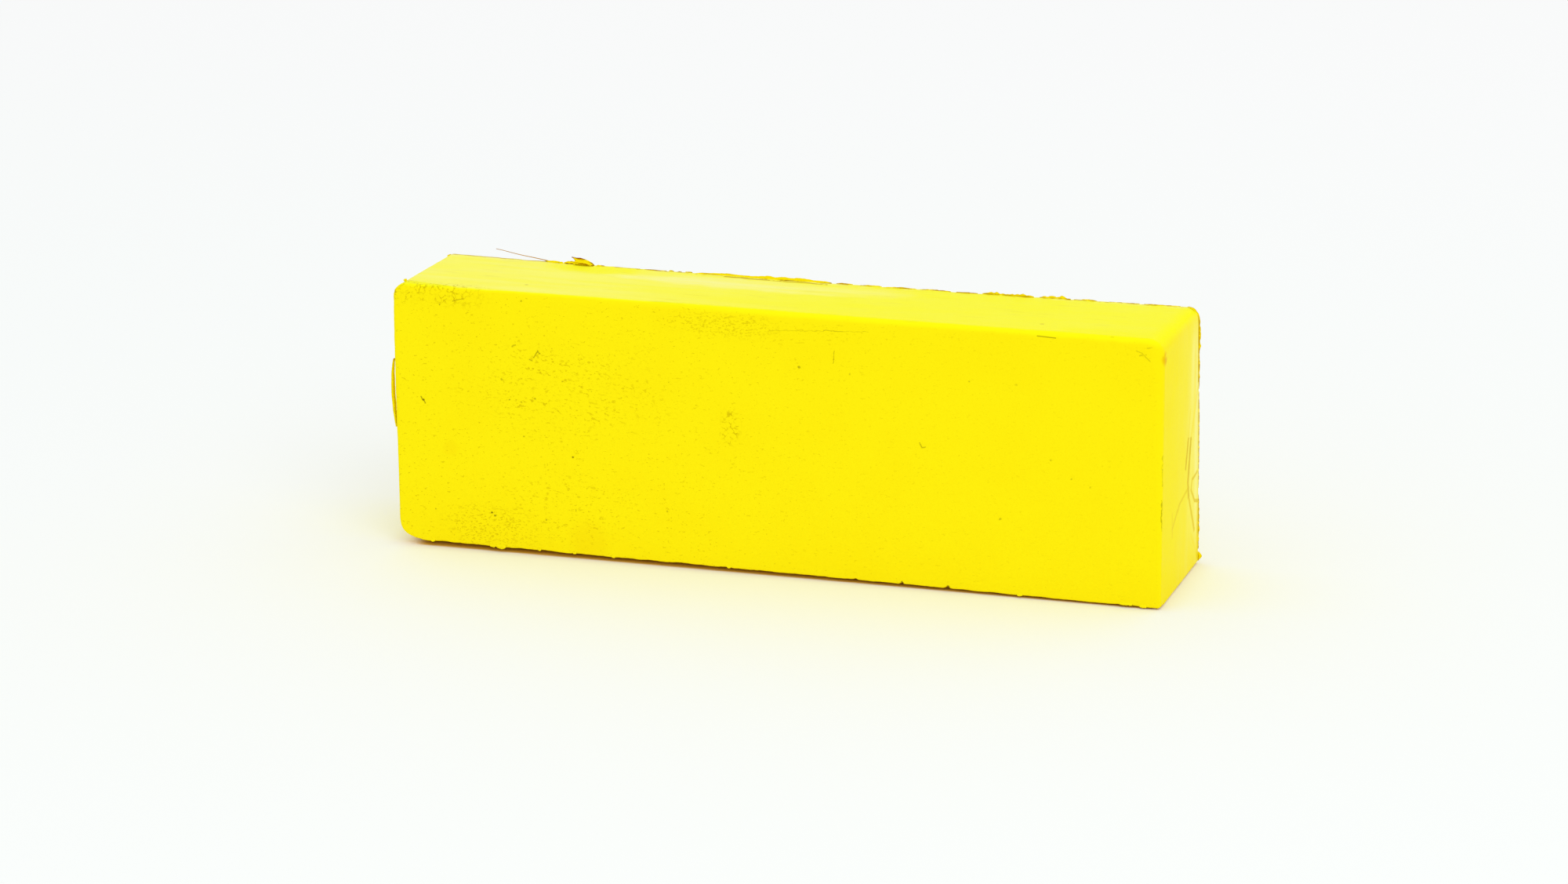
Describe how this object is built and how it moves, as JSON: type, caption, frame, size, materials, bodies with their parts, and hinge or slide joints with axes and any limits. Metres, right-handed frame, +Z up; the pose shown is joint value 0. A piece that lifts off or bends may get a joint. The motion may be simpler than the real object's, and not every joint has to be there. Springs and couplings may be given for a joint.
{
  "type": "oil paint stick",
  "caption": "Rectangular bar of cast oil paint, standing on its long narrow side, with softly rounded edges and thin moulding flash, for drawing and painting by hand.",
  "frame": {"origin": "centre of the bounding box on the surface that the bar stands on", "axes": "+X along the bar to its right end, +Y from the front face to the back, +Z up"},
  "size_m": [0.1009, 0.0198, 0.0346],
  "materials": {
    "paint": "satin, waxy"
  },
  "bodies": {
    "root": {"paint_stick": "paint"}
  },
  "joints": []
}
